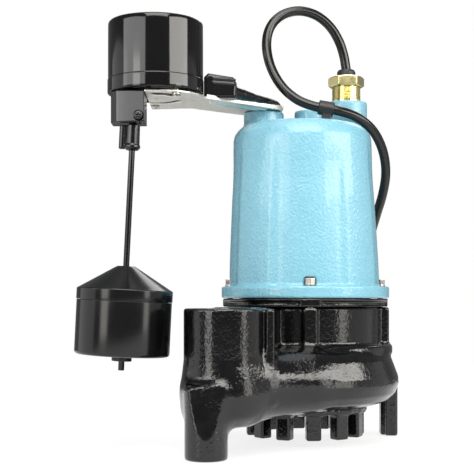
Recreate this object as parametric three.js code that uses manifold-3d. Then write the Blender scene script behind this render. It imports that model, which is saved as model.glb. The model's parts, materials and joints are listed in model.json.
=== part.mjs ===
// A submersible sump pump with a vertical float switch. Millimetres, +Z up.
// The pump stands on its three feet. It is laid out about the axis of its motor (x = y = 0, floor z = 0),
// and the finished group is moved so that the middle of its footprint is at the origin.
import * as THREE from "three";
import { mergeVertices } from "three/addons/utils/BufferGeometryUtils.js";
import Module from "manifold-3d";

const wasm = await Module();
wasm.setup();

// ---- driving dimensions ----
const GAP = 0.3; // left between pieces that touch
const BOLT_CIRCLE_R = 75;
const BOLT_ANGLES = [-90, 0, 90, 180];

const FLANGE = { r: 83.3, bottom: 141.8, top: 154.3 };
const HOUSING = {
  top: 313, bottomR: 76.8, waistR: 73.7, shoulderR: 70, shoulder: 20, cavityR: 62, cavityTop: 302,
};
const LEFT_BOSS = { x: -41, y: 5, r: 20, top: 327.5, hole: 3.4, depth: 17 };
const MIDDLE_BOSS = { x: 8, y: 27, r: 17, top: 333, hole: 8, depth: 40 };
const CORD_BOSS = { x: 43, y: 18, r: 21, top: 340, hole: 10, depth: 50 };

const SEAL_PLATE = { r: 82, bottom: 133.3, top: 141.5, hubR: 27, hubTop: 158, seatR: 24, seatBottom: 118 };
const SHAFT = { r: 8, bottom: 62, top: 288 };
const BEARING = { outer: 20, lower: 143, upper: 268, high: 13 };
const STATOR = { r: 61.7, bore: 33, bottom: 175, top: 235 };
const ROTOR = { r: 32.4, bottom: 177, top: 233 };

const DRUM = { r: 74, bottom: 90, top: 133, lugR: 83, lugWide: 16, bore: 60 };
const SCROLL = {
  startR: 84, growth: 32, power: 2.4, sweep: 290, bottom: 38, top: 93, chamberR: 66, edge: 9,
};
const RISER = {
  x: -79.5, y: -110, r: 36.5, bore: 24.2, bottom: 30, top: 132.5, elbowR: 40.5, elbowTop: 84,
};
const SUCTION_R = 32;
const IMPELLER = {
  r: 58, shroudBottom: 80, shroudTop: 85, hubR: 14, hubTop: 103, vaneBottom: 60, vanes: 5,
};
const STRAINER = {
  outer: 61, bottom: 30.5, top: 37.7, posts: 12, postR: 7.4, postCircle: 52.5, postEnd: 6, first: 5,
};

const SWITCH = { x: -144, y: -72, r: 44.3, bottom: 332, top: 399, edge: 4, wall: 2.5 };
const PLATE = { bottom: 328, top: 330 };
const BLOCK = { left: -184, right: -152, front: -103, back: -73, bottom: 302, top: 331.7 };
const ROD = { x: -164.6, y: -88, r: 2.8, guideEnd: 278, lean: 2.85, top: 356, end: 75 };
const FLOAT = { r: 43.7, bottom: 89, seam: 139, rim: 150, coneTop: 171, coneTopR: 8 };

const POWER_CORD = { r: 4.75, coilR: 48, turnsWide: 2, turnsHigh: 4 };
const SWITCH_CORD = { r: 4 };
const COIL = { x: -58, y: 306 };
const CORD_Z = 5.2; // where the cord lies on the floor
const FLOOR_GAP = 0.1;
const PLUG = { long: 38, wide: 27, high: 25, relief: 7 };
const RELIEF = { x: -99.2, y: -55, width: 22 };
const CLIP = { x0: 12, x1: 27.5, y0: -27, y1: -12.5, bottom: 313.6, top: 335.6 };
const JUNCTION = { x: 71, y: 85, wide: 20, deep: 17, bottom: 168, top: 200 };

// ---- materials ----
const paint = (color, roughness, metalness) =>
  new THREE.MeshStandardMaterial({ color, roughness, metalness });
const BLUE = paint(0x8fd0e4, 0.38, 0.1);
const BLACK_IRON = paint(0x1b1b1d, 0.3, 0.2);
const BLACK_PLASTIC = paint(0x141415, 0.35, 0);
const GREY_PLASTIC = paint(0x2a2a2a, 0.4, 0);
const ZINC = paint(0xd6d4cc, 0.35, 0.8);
const STEEL = paint(0xb8b4ac, 0.3, 0.9);
const GOLD_ZINC = paint(0xcfa63c, 0.3, 0.8);
const RUBBER = paint(0x17171a, 0.55, 0);
const COPPER = paint(0xb5662e, 0.4, 0.8);
const LAMINATION = paint(0x6d6f72, 0.5, 0.7);
const CERAMIC = paint(0xe8e4da, 0.3, 0);
const CARBON = paint(0x2c2c2e, 0.5, 0.1);

// ---- solids ----
const radians = THREE.MathUtils.degToRad;
const onCircle = (r, degrees) => [r * Math.cos(radians(degrees)), r * Math.sin(radians(degrees))];

function solid(geometry) {
  const bare = geometry.index ? geometry.toNonIndexed() : geometry.clone();
  bare.deleteAttribute("normal");
  bare.deleteAttribute("uv");
  const merged = mergeVertices(bare, 1e-3);
  const vertProperties = new Float32Array(merged.attributes.position.array);
  const corners = [];
  for (let i = 0; i < merged.index.count; i += 3) {
    const [a, b, c] = merged.index.array.slice(i, i + 3);
    if (a !== b && b !== c && c !== a) corners.push([a, b, c]);
  }
  const build = (triangles) => {
    const triVerts = new Uint32Array(triangles.flat());
    return new wasm.Manifold(new wasm.Mesh({ numProp: 3, vertProperties, triVerts }));
  };
  const made = build(corners);
  return made.volume() > 0 ? made : build(corners.map(([a, b, c]) => [a, c, b]));
}

// A profile of [radius, height] points turned about the Z axis through x, y.
function turned(profile, segments = 28, x = 0, y = 0) {
  const points = profile.map(([r, z]) => new THREE.Vector2(r, z));
  return solid(new THREE.LatheGeometry(points, segments).rotateX(Math.PI / 2).translate(x, y, 0));
}

const post = (x, y, r, bottom, top, segments = 16) =>
  turned([[0, bottom], [r, bottom], [r, top], [0, top]], segments, x, y);

const ring = (outer, inner, bottom, top, segments = 24, x = 0, y = 0) =>
  turned([[inner, bottom], [outer, bottom], [outer, top], [inner, top], [inner, bottom]], segments, x, y);

function prism(outline, bottom, top, bevel = 0) {
  const points = (list) => list.map((p) => new THREE.Vector2(...p));
  const shape = outline instanceof THREE.Shape ? outline : new THREE.Shape(points(outline));
  const settings = { depth: top - bottom - 2 * bevel, curveSegments: 6, bevelEnabled: bevel > 0 };
  const rounded = { bevelSize: bevel, bevelThickness: bevel, bevelOffset: -bevel, bevelSegments: 1 };
  const made = new THREE.ExtrudeGeometry(shape, { ...settings, ...rounded });
  return solid(made.translate(0, 0, bottom + bevel));
}

const block = (x0, x1, y0, y1, z0, z1) => prism([[x0, y0], [x1, y0], [x1, y1], [x0, y1]], z0, z1);

function hexagon(x, y, r, turn = 0) {
  return [0, 60, 120, 180, 240, 300].map((angle) => {
    const [dx, dy] = onCircle(r, angle + turn);
    return [x + dx, y + dy];
  });
}

// Rounded rectangle between two corners.
function roundedRectangle(x0, y0, x1, y1, r) {
  const shape = new THREE.Shape();
  shape.absarc(x1 - r, y0 + r, r, -Math.PI / 2, 0);
  shape.absarc(x1 - r, y1 - r, r, 0, Math.PI / 2);
  shape.absarc(x0 + r, y1 - r, r, Math.PI / 2, Math.PI);
  shape.absarc(x0 + r, y0 + r, r, Math.PI, 1.5 * Math.PI);
  return shape;
}

const join = (first, ...others) => others.reduce((whole, next) => whole.add(next), first);
const cut = (first, ...tools) => tools.reduce((left, tool) => left.subtract(tool), first);

function piece(name, shape, material) {
  const mesh = shape.getMesh();
  const geometry = new THREE.BufferGeometry();
  const positions = new Float32Array(mesh.numVert * 3);
  for (let i = 0; i < mesh.numVert; i++) {
    positions.set(mesh.vertProperties.subarray(i * mesh.numProp, i * mesh.numProp + 3), i * 3);
  }
  geometry.setAttribute("position", new THREE.BufferAttribute(positions, 3));
  geometry.setIndex(new THREE.BufferAttribute(new Uint32Array(mesh.triVerts), 1));
  geometry.computeVertexNormals();
  const made = new THREE.Mesh(geometry, material);
  made.name = name;
  return made;
}

const boltPlaces = BOLT_ANGLES.map((angle) => onCircle(BOLT_CIRCLE_R, angle));

// ---- motor ----
function motorHousing() {
  const { top, bottomR, waistR, shoulderR, shoulder, cavityR, cavityTop } = HOUSING;
  const corner = [0, 30, 60, 90].map((a) => {
    const [across, up] = onCircle(shoulder, a);
    return [shoulderR - shoulder + across, top - shoulder + up];
  });
  const shell = turned([
    [0, cavityTop], [48, cavityTop], [58, cavityTop - 12], [60, STATOR.top + 1], [cavityR, STATOR.top + 1],
    [cavityR, 152], [64.5, 152], [64.5, FLANGE.bottom], [FLANGE.r, FLANGE.bottom], [FLANGE.r, FLANGE.top],
    [bottomR, FLANGE.top], [bottomR, 165], [waistR, 235], ...corner, [0, top],
  ], 32);
  const bosses = [LEFT_BOSS, MIDDLE_BOSS, CORD_BOSS];
  const bossPosts = bosses.map((b) => post(b.x, b.y, b.r, cavityTop + 2, b.top, 20));
  const bossHoles = bosses.map((b) => post(b.x, b.y, b.hole, b.top - b.depth, b.top + 1, 12));
  const hub = ring(26, BEARING.outer + GAP, BEARING.upper, cavityTop + 2);
  const boltHoles = boltPlaces.map(([x, y]) => post(x, y, 3.4, FLANGE.bottom - 1, FLANGE.top + 1, 8));
  const boltPockets = boltPlaces.map(([x, y]) => post(x, y, 8, FLANGE.top, FLANGE.top + 9.5, 10));
  const whole = cut(join(shell, hub, ...bossPosts), ...bossHoles, ...boltHoles, ...boltPockets);
  return piece("motor_housing", whole, BLUE);
}

function flangeBolts() {
  const headTop = FLANGE.top + 7.6;
  return boltPlaces.map(([x, y], i) => {
    const head = prism(hexagon(x, y, 5.6, 30), FLANGE.top + GAP, headTop);
    const shank = post(x, y, 3, 112, FLANGE.top + 1, 8);
    return piece("flange_bolt_" + (i + 1), join(head, shank), STEEL);
  });
}

function stator() {
  const { r, bore, bottom, top } = STATOR;
  const endTurns = (from, to) => ring(56, 37, from, to, 24);
  return [
    piece("stator_core", ring(r, bore, bottom, top, 32), LAMINATION),
    piece("upper_winding", endTurns(top + GAP, top + 20), COPPER),
    piece("lower_winding", endTurns(bottom - 14, bottom - GAP), COPPER),
    piece("run_capacitor", post(-36, -18, 12, 257, 289, 14), CERAMIC),
    piece("thermal_protector", block(-10, 10, 38, 50, top + 20 + GAP, top + 29), CARBON),
  ];
}

function rotor() {
  const { bottom, top } = ROTOR;
  const shaft = turned([
    [0, SHAFT.bottom], [5, SHAFT.bottom], [5, 78.5], [SHAFT.r, 78.5], [SHAFT.r, SHAFT.top], [0, SHAFT.top],
  ], 16);
  const sleeve = SHAFT.r + GAP;
  return [
    piece("motor_shaft", shaft, STEEL),
    piece("rotor_core", ring(ROTOR.r, sleeve, bottom, top, 24), LAMINATION),
    piece("rotor_end_ring_upper", ring(30, 18, top + GAP, top + 8, 20), STEEL),
    piece("rotor_end_ring_lower", ring(30, 18, bottom - 8, bottom - GAP, 20), STEEL),
  ];
}

function bearings() {
  const { outer, lower, upper, high } = BEARING;
  const race = (from) => ring(outer, SHAFT.r + GAP, from, from + high, 20);
  return [piece("upper_bearing", race(upper + 2), STEEL), piece("lower_bearing", race(lower), STEEL)];
}

function sealPlate() {
  const { r, bottom, top, hubR, hubTop, seatR, seatBottom } = SEAL_PLATE;
  const seat = BEARING.outer + GAP;
  const body = turned([
    [9.5, BEARING.lower - 1], [seat, BEARING.lower - 1], [seat, hubTop], [hubR, hubTop], [hubR, top],
    [62, top], [62, top + 5], [64, top + 5], [64, top], [r, top], [r, bottom], [59, bottom], [59, bottom - 4],
    [seatR, bottom - 4], [seatR, seatBottom], [16.3, seatBottom], [16.3, 130], [9.5, 130],
    [9.5, BEARING.lower - 1],
  ], 24);
  const holes = boltPlaces.map(([x, y]) => post(x, y, 3.4, bottom - 1, top + 1, 8));
  return piece("seal_plate", cut(body, ...holes), BLACK_IRON);
}

function shaftSeal() {
  const sleeve = SHAFT.r + GAP;
  return [
    piece("housing_o_ring", ring(64.2, 62.3, 147, 151.6, 24), RUBBER),
    piece("seal_seat", ring(16, 9, 122, 129.7, 20), CERAMIC),
    piece("seal_face", ring(13.5, sleeve, 117, 121.7, 20), CARBON),
    piece("seal_spring", ring(12.5, sleeve + 1, IMPELLER.hubTop + GAP, 116.7, 20), STEEL),
  ];
}

// ---- wet end ----
function scrollRadius(sweep) {
  return SCROLL.startR + SCROLL.growth * (sweep / SCROLL.sweep) ** SCROLL.power;
}

// The scroll starts at the left, and widens round the back, the right and the front to the discharge.
function scrollOutline() {
  const steps = 28;
  const outline = [];
  for (let i = 0; i <= steps; i++) {
    const sweep = (SCROLL.sweep * i) / steps;
    outline.push(onCircle(scrollRadius(sweep), 180 - sweep));
  }
  outline.push([RISER.x, RISER.y - 36], [RISER.x - 30, RISER.y - 14], [RISER.x - 24, RISER.y + 50]);
  return outline;
}

function footOutlines() {
  return {
    front: [[-110, -108], [-111, -136], [-104, -151], [-92, -161], [-79, -164.5], [-77, -161], [-77, -118]],
    right: [[80.5, 39], [86.5, 39], [87, 33], [95, 31.5], [97.8, 34], [97.8, 56], [80.5, 56]],
    left: [[-106, 6], [-106, 34], [-98, 38], [-80, 38], [-78, 4], [-98, 1]],
  };
}

function voluteCasing() {
  const { bottom, top, chamberR, edge } = SCROLL;
  const scroll = prism(scrollOutline(), bottom, top, edge);
  const drum = post(0, 0, DRUM.r, DRUM.bottom - 20, DRUM.top, 40);
  const lugs = BOLT_ANGLES.map((angle) => {
    const half = DRUM.lugWide / 2;
    const shape = [[60, -half], [DRUM.lugR - 3, -half], [DRUM.lugR, 0], [DRUM.lugR - 3, half], [60, half]];
    const [c, s] = onCircle(1, angle);
    return prism(shape.map(([x, y]) => [c * x - s * y, s * x + c * y]), DRUM.bottom - 10, DRUM.top);
  });
  const riser = post(RISER.x, RISER.y, RISER.r, RISER.bottom + 10, RISER.top, 32);
  const elbow = turned([
    [0, RISER.bottom], [24, RISER.bottom], [36, RISER.bottom + 5], [RISER.elbowR, RISER.bottom + 14],
    [RISER.elbowR, RISER.elbowTop - 6], [RISER.r, RISER.elbowTop], [0, RISER.elbowTop],
  ], 28, RISER.x, RISER.y);
  const web = prism([[-95, -72], [-58, -30], [-20, -60], [-32, -93], [-50, -118]], bottom + 6, DRUM.top - 1);
  const { front, right, left } = footOutlines();
  const feet = [prism(front, 0, 76), prism(right, 0, 60), prism(left, 0, 60)];
  const body = join(scroll, drum, ...lugs, riser, elbow, web, ...feet);
  const hollows = [
    post(0, 0, chamberR, bottom + 17, DRUM.bottom - 1, 28),
    post(0, 0, DRUM.bore, DRUM.bottom - 2, DRUM.top + 1, 28),
    post(0, 0, SUCTION_R, bottom - 1, bottom + 18, 24),
    post(RISER.x, RISER.y, RISER.bore, bottom + 17, RISER.top + 1, 24),
    prism([[-20, -50], [-50, -34], [-94, -98], [-64, -128]], bottom + 17, DRUM.bottom - 8),
    ...boltPlaces.map(([x, y]) => post(x, y, 3.4, 110, DRUM.top + 1, 8)),
  ];
  return piece("volute_casing", cut(body, ...hollows), BLACK_IRON);
}

function impeller() {
  const { r, shroudBottom, shroudTop, hubR, hubTop, vaneBottom, vanes } = IMPELLER;
  const hub = turned([
    [0, shroudBottom - 8], [hubR, shroudBottom - 8], [hubR, shroudBottom], [r, shroudBottom], [r, shroudTop],
    [hubR, shroudTop], [hubR, hubTop], [0, hubTop],
  ], 28);
  const vane = (turn) => {
    const outer = [];
    const inner = [];
    for (let i = 0; i <= 4; i++) {
      const along = 16 + (r - 17) * (i / 4);
      outer.push(onCircle(along, turn + 13 * i));
      inner.unshift(onCircle(along, turn + 13 * i + 200 / along));
    }
    return prism([...outer, ...inner], vaneBottom, shroudBottom + 1);
  };
  const blades = Array.from({ length: vanes }, (_, i) => vane((360 / vanes) * i));
  const bore = join(post(0, 0, 5.3, 60, 90), post(0, 0, SHAFT.r + GAP, 78.2, hubTop + 1));
  const nut = cut(prism(hexagon(0, 0, 9.5), 64, 71.7), post(0, 0, 5.3, 60, 80));
  const wheel = cut(join(hub, ...blades), bore);
  return [piece("impeller", wheel, GREY_PLASTIC), piece("impeller_nut", nut, STEEL)];
}

const SCREW_ANGLES = [20, 140, 260];

function strainer() {
  const { outer, bottom, top, posts, postR, postCircle, postEnd, first } = STRAINER;
  const plate = ring(outer, SUCTION_R, bottom, top, 28);
  const legs = Array.from({ length: posts }, (_, i) => {
    const [x, y] = onCircle(postCircle, first - 90 + (360 / posts) * i);
    const side = [[0, postEnd], [postR - 2, postEnd], [postR, postEnd + 2], [postR, top - 1], [0, top - 1]];
    return turned(side, 8, x, y);
  });
  const holes = SCREW_ANGLES.map((angle) => post(...onCircle(39, angle), 2.6, bottom - 1, top + 1, 8));
  const screws = SCREW_ANGLES.map((angle, i) => {
    const [x, y] = onCircle(39, angle);
    const head = post(x, y, 4.4, bottom - 3.2, bottom - GAP, 12);
    return piece("strainer_screw_" + (i + 1), join(head, post(x, y, 2.3, bottom - 1, top, 8)), STEEL);
  });
  return [piece("suction_strainer", cut(join(plate, ...legs), ...holes), BLACK_IRON), ...screws];
}

// ---- cord gland and plug on the motor ----
function gland() {
  const { x, y, top } = CORD_BOSS;
  const threads = [];
  for (let z = top + 4; z < top + 15; z += 3) threads.push([14.3, z], [14.3, z + 1], [13.2, z + 2]);
  const body = turned([
    [5.6, top - 18], [9.6, top - 18], [9.6, top + GAP], [14.3, top + GAP], ...threads, [13.2, top + 15.5],
    [5.6, top + 15.5], [5.6, top - 18],
  ], 14, x, y);
  const nut = cut(prism(hexagon(x, y, 18.4, 0), top + 15.8, top + 26, 0), post(x, y, 10.2, 0, 400, 20));
  const bushing = turned([
    [5.05, top + 15.8], [9.8, top + 15.8], [9.8, top + 31], [8.4, top + 33.4], [5.05, top + 33.4],
    [5.05, top + 15.8],
  ], 20, x, y);
  return [
    piece("gland_body", body, GOLD_ZINC),
    piece("gland_nut", nut, GOLD_ZINC),
    piece("gland_bushing", bushing, RUBBER),
  ];
}

function fillerPlug() {
  const { x, y, top, hole } = MIDDLE_BOSS;
  const plug = post(x, y, hole - GAP, top - 15, top - 0.8, 16);
  return piece("filler_plug", cut(plug, prism(hexagon(x, y, 4.6), top - 6, top + 1)), STEEL);
}

// ---- float switch ----
function bracket() {
  const { bottom, top } = PLATE;
  const { x, y } = SWITCH;
  const outline = new THREE.Shape();
  outline.moveTo(BLOCK.right + GAP, y - 38);
  outline.lineTo(x + 8, y - 38);
  outline.bezierCurveTo(x + 34, y - 34, x + 44, y - 22, x + 48, y + 6);
  outline.lineTo(LEFT_BOSS.x - 22, LEFT_BOSS.y - 27);
  outline.lineTo(LEFT_BOSS.x, LEFT_BOSS.y - 18.5);
  outline.absarc(LEFT_BOSS.x, LEFT_BOSS.y, 18.5, -Math.PI / 2, Math.PI / 2);
  outline.lineTo(LEFT_BOSS.x - 22, LEFT_BOSS.y + 14);
  outline.lineTo(-104, -12);
  outline.bezierCurveTo(x + 30, y + 54, x + 20, y + 56, BLOCK.right + GAP, y + 58);
  const plate = prism(outline, bottom, top);
  const slot = (from, to) => {
    const arc = new THREE.Shape();
    arc.absarc(x, y, 27, radians(from), radians(to));
    arc.absarc(x, y, 20, radians(to), radians(from), true);
    return prism(arc, bottom - 1, top + 1);
  };
  const centreHole = post(x, y, 2.2, bottom - 1, top + 1, 12);
  const boltHole = post(LEFT_BOSS.x, LEFT_BOSS.y, 3.4, bottom - 1, top + 1, 16);
  const screwHoles = switchScrewPlaces().map(([sx, sy]) => post(sx, sy, 2.6, bottom - 1, top + 1, 8));
  const whole = cut(plate, slot(-80, -28), slot(30, 104), centreHole, boltHole, ...screwHoles);
  const headBottom = top + GAP;
  const bolt = join(
    prism(hexagon(LEFT_BOSS.x, LEFT_BOSS.y, 6, 30), headBottom, headBottom + 4.2),
    post(LEFT_BOSS.x, LEFT_BOSS.y, 3, LEFT_BOSS.top - 14, headBottom + 1, 16),
  );
  return [piece("switch_bracket", whole, ZINC), piece("bracket_bolt", bolt, STEEL)];
}

function switchScrewPlaces() {
  return [[SWITCH.x + 21, SWITCH.y - 30], [SWITCH.x - 3, SWITCH.y + 36]];
}

function switchScrews() {
  return switchScrewPlaces().map(([x, y], i) => {
    const head = turned([
      [0, PLATE.bottom - 3.2], [2.4, PLATE.bottom - 2.8], [4, PLATE.bottom - 1.4], [4, PLATE.bottom - GAP],
      [2.2, PLATE.bottom - GAP], [2.2, SWITCH.bottom + 2.5], [0, SWITCH.bottom + 2.5],
    ], 12, x, y);
    return piece("switch_screw_" + (i + 1), head, STEEL);
  });
}

function switchHousing() {
  const { x, y, r, bottom, top, edge, wall } = SWITCH;
  const crown = [90, 60, 30, 0].map((a) => {
    const [across, up] = onCircle(edge, a);
    return [r - edge + across, top - edge + up];
  });
  const cap = turned([
    [0, top], ...crown, [r, bottom + 13], [r + 0.5, bottom + 12.5], [r + 0.5, bottom], [r - wall, bottom],
    [r - wall, top - edge], [r - wall - 6, top - wall], [0, top - wall],
  ], 28, x, y);
  const base = ring(r - wall - GAP, 6, bottom + 1, bottom + 6, 28, x, y);
  const rodHole = post(ROD.x + 2, ROD.y, 6, bottom, bottom + 7, 16);
  const screwHoles = switchScrewPlaces().map(([sx, sy]) => post(sx, sy, 2.6, bottom, bottom + 3.2, 8));
  const cordHole = block(x + 30, x + 60, y + 2, y + 14, bottom + 3, bottom + 13);
  return [
    piece("switch_cap", cut(cap, cordHole), BLACK_PLASTIC),
    piece("switch_base", cut(base, rodHole, cordHole, ...screwHoles), BLACK_PLASTIC),
  ];
}

function switchWorks() {
  const { x, y, bottom } = SWITCH;
  const floor = bottom + 6 + GAP;
  const pinY = ROD.y;
  const pivot = { x: x + 18, z: floor + 21 };
  const fork = join(
    block(pivot.x - 4, pivot.x + 4, pinY - 8, pinY - 5, floor, pivot.z + 4),
    block(pivot.x - 4, pivot.x + 4, pinY + 5, pinY + 8, floor, pivot.z + 4),
    block(pivot.x - 4, pivot.x + 4, pinY - 8, pinY + 8, floor, floor + 3),
  );
  const along = (radius, from, to) =>
    solid(new THREE.CylinderGeometry(radius, radius, to - from, 16)
      .translate(pivot.x, (from + to) / 2, pivot.z));
  const arm = cut(
    join(
      block(ROD.x - 1, pivot.x, pinY - 2.5, pinY + 2.5, pivot.z - 1.5, pivot.z + 1.5),
      along(4, pinY - 4.5, pinY + 4.5),
    ),
    along(1.9, pinY - 9, pinY + 9),
  );
  return [
    piece("lever_fork", cut(fork, along(1.6, pinY - 9, pinY + 9)), GREY_PLASTIC),
    piece("lever_pin", along(1.3, pinY - 9, pinY + 9), STEEL),
    piece("switch_lever", arm, GREY_PLASTIC),
    piece("snap_switch", block(x - 8, x + 20, y + 6, y + 18, floor, floor + 16), CARBON),
  ];
}

function rodBlock() {
  const { left, right, front, back, bottom, top } = BLOCK;
  const outline = [[left + 6, front], [right, front], [right, back], [left, back], [left, front + 12]];
  const body = prism(outline, bottom, top);
  const screw = solid(
    new THREE.CylinderGeometry(4, 4, 2.4, 20).translate(right - 5.5, front - 1.5, bottom + 5.5),
  );
  const rodWay = post(ROD.x + 1.9, ROD.y, 5, bottom - 1, top + 1, 20);
  return [piece("rod_block", cut(body, rodWay), BLACK_PLASTIC), piece("block_screw", screw, CARBON)];
}

// Its local z runs along the rod from the guide's lower end.
function rodGuide() {
  const top = BLOCK.bottom - ROD.guideEnd - 1;
  const main = turned([
    [3.6, 0], [5.6, 0], [7.4, 2], [7.2, 4], [6.6, 5], [6.2, top], [3.6, top], [3.6, 0],
  ], 24);
  const rib = turned([[0, 0], [2, 0], [3.4, 3], [3.4, top], [0, top]], 16, -9.2, 0);
  const bridge = block(-8, -5, -1.4, 1.4, 3, top);
  return piece("rod_guide", join(main, rib, bridge), BLACK_PLASTIC);
}

// The rod and the float lean with the rod's top end towards the pump; local z runs along the rod.
function floatGroup() {
  const { r, bottom, seam, rim, coneTop, coneTopR } = FLOAT;
  const base = ROD.guideEnd;
  const bore = ROD.r + GAP;
  const group = new THREE.Group();
  group.position.set(ROD.x, ROD.y, base);
  group.rotation.y = radians(ROD.lean);
  const down = (z) => z - base;
  const body = turned([
    [bore, down(seam) + 2], [r - 3, down(seam) + 2], [r - 3, down(seam)], [r, down(seam)],
    [r, down(bottom) + 3],
    [r - 3, down(bottom)], [bore, down(bottom)], [bore, down(seam) + 2],
  ], 24);
  const lid = turned([
    [bore, down(seam) + 2.3], [r - 3 + GAP, down(seam) + 2.3], [r - 3 + GAP, down(seam) + GAP],
    [r + 0.4, down(seam) + GAP], [r + 0.4, down(rim) - 1.5], [r - 1, down(rim)], [coneTopR, down(coneTop)],
    [bore, down(coneTop)], [bore, down(seam) + 2.3],
  ], 24);
  const stop = ring(9.2, bore, down(bottom) - 5.4, down(bottom) - GAP, 20);
  group.add(
    piece("float_body", body, BLACK_PLASTIC),
    piece("float_lid", lid, BLACK_PLASTIC),
    piece("float_rod", post(0, 0, ROD.r, down(ROD.end), down(ROD.top), 12), BLACK_PLASTIC),
    piece("rod_stop", stop, RUBBER),
    piece("rod_collar", ring(5, bore, down(339), down(342), 16), BLACK_PLASTIC),
    rodGuide(),
  );
  return group;
}

// ---- cords ----
function tube(points, r, steps) {
  const curve = new THREE.CatmullRomCurve3(points.map((p) => new THREE.Vector3(...p)), false, "centripetal");
  const section = new THREE.Shape();
  section.absarc(0, 0, r, 0, 2 * Math.PI);
  return solid(new THREE.ExtrudeGeometry(section, { steps, curveSegments: 4, extrudePath: curve }));
}

function coil(cord, bottom) {
  const half = cord.turnsWide * cord.r + 0.5;
  const high = cord.turnsHigh * 2 * cord.r;
  return ring(cord.coilR + half, cord.coilR - half, bottom, bottom + high, 32, COIL.x, COIL.y);
}

const POWER_ROUTE = [
  [43, 18, CORD_BOSS.top + 33.7], [40.5, 17.5, 388], [35.5, 15.5, 402], [26, 12, 417], [13.6, 8, 426.8],
  [-5, 3, 430.6], [-20, -1, 426.4], [-31.4, -4, 417], [-37.4, -7, 403.5], [-38.2, -9, 390],
  [-34.4, -12, 368.5], [-24.6, -15, 350], [-9, -18, 337.5], [5, -19, 331], [19.5, -19.5, 328.2],
  [36, -18, 325.5], [51, -12, 320], [67.6, -2, 312.8], [76, 9, 297], [82, 20, 281.5], [84.8, 29, 268],
  [84, 42, 250], [79, 62, 228], [73, 78, 208], [71, 84, 188], [70.5, 86, 168], [61, 95, 143], [42, 102, 119],
  [12, 106, 93], [-23, 108, 69], [-58, 110, 45], [-84, 116, 24], [-99, 131, 9], [-104, 153, CORD_Z],
  [-106, 200, CORD_Z], [-109, 245, CORD_Z], [COIL.x - 60, 275, CORD_Z], [COIL.x - 63.8, COIL.y, CORD_Z],
];
const SWITCH_ROUTE = [
  [-53, -35, 336], [-46, -28, 335.4], [-37, -16, 334.8], [-30, -2, 334.9], [-25.4, 15, 335.2], [-26, 34, 329.5],
  [-27, 48, 321], [-25.5, 62, 313.5], [-20, 75, 300], [-12, 84, 281], [1, 89.5, 258], [18, 92, 234],
  [37, 90, 211.5], [JUNCTION.x - 13.5, 86, 193],
];

// A moulded three-pin plug that lies along X, with its cord entering at x, y on the side facing -X.
function plugShape(x, y, z) {
  const { long, wide, high, relief } = PLUG;
  const middle = z + high / 2;
  const face = x + relief + long;
  const alongX = (radius, from, to, height, sides) =>
    solid(new THREE.CylinderGeometry(radius, radius, to - from, sides).rotateZ(Math.PI / 2)
      .translate((from + to) / 2, y, height));
  const body = prism(roundedRectangle(x + relief, y - wide / 2, face, y + wide / 2, 7), z, z + high);
  const blade = (dy) => block(face - 2, face + 16, y + dy - 0.8, y + dy + 0.8, middle, middle + 6.4);
  const earthPin = alongX(2.4, face - 2, face + 19, middle - 6, 12);
  return join(body, blade(-6.3), blade(6.3), earthPin, alongX(6.5, x, x + relief + 2, middle, 16));
}

function switchRelief() {
  const { x, y, width } = RELIEF;
  const floor = PLATE.top + GAP;
  const side = new THREE.Shape([
    [x, floor], [x + 30, floor], [x + 31, floor + 14], [x + 28, floor + 20], [x + 4, floor + 24],
    [x, floor + 20],
  ].map((p) => new THREE.Vector2(...p)));
  const settings = { depth: width, bevelEnabled: false };
  const upright = new THREE.ExtrudeGeometry(side, settings).rotateX(Math.PI / 2);
  const body = solid(upright.translate(0, y + width / 2, 0));
  const [start, end] = [new THREE.Vector3(x + 26, y, floor + 7), new THREE.Vector3(...SWITCH_ROUTE[0])];
  const along = end.clone().sub(start);
  const long = along.length() - GAP;
  const up = new THREE.Vector3(0, 1, 0);
  const sleeve = new THREE.CylinderGeometry(4.4, 5.4, long, 16)
    .translate(0, long / 2, 0)
    .applyQuaternion(new THREE.Quaternion().setFromUnitVectors(up, along.normalize()))
    .translate(start.x, start.y, start.z);
  return piece("switch_cord_relief", join(body, solid(sleeve)), RUBBER);
}

// A way through a piece for the stretch of the power cord that keep picks out of its route.
const cordWay = (keep) => tube(POWER_ROUTE.filter(keep), POWER_CORD.r + 1.1, 10);

function cordClip() {
  const { x0, x1, y0, y1, bottom, top } = CLIP;
  const way = cordWay(([x, y, z]) => x > x0 - 20 && x < x1 + 20 && y < -5 && z < 345);
  return piece("cord_clip", cut(prism(roundedRectangle(x0, y0, x1, y1, 2), bottom, top), way), RUBBER);
}

function cordJunction() {
  const { x, y, wide, deep, bottom, top } = JUNCTION;
  const way = cordWay(([, py, z]) => py > y - 30 && z > bottom - 30 && z < top + 30);
  const outline = roundedRectangle(x - wide / 2, y - deep / 2, x + wide / 2, y + deep / 2, 4);
  const body = prism(outline, bottom, top);
  return piece("cord_junction", cut(body, way), RUBBER);
}

function cords() {
  return [
    piece("power_cord", tube(POWER_ROUTE, POWER_CORD.r, 44), RUBBER),
    piece("power_cord_coil", coil(POWER_CORD, FLOOR_GAP), RUBBER),
    piece("power_plug", plugShape(COIL.x + 46, COIL.y + POWER_CORD.coilR + 2, FLOOR_GAP), RUBBER),
    piece("switch_cord", tube(SWITCH_ROUTE, SWITCH_CORD.r, 16), RUBBER),
    cordJunction(),
  ];
}

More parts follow.
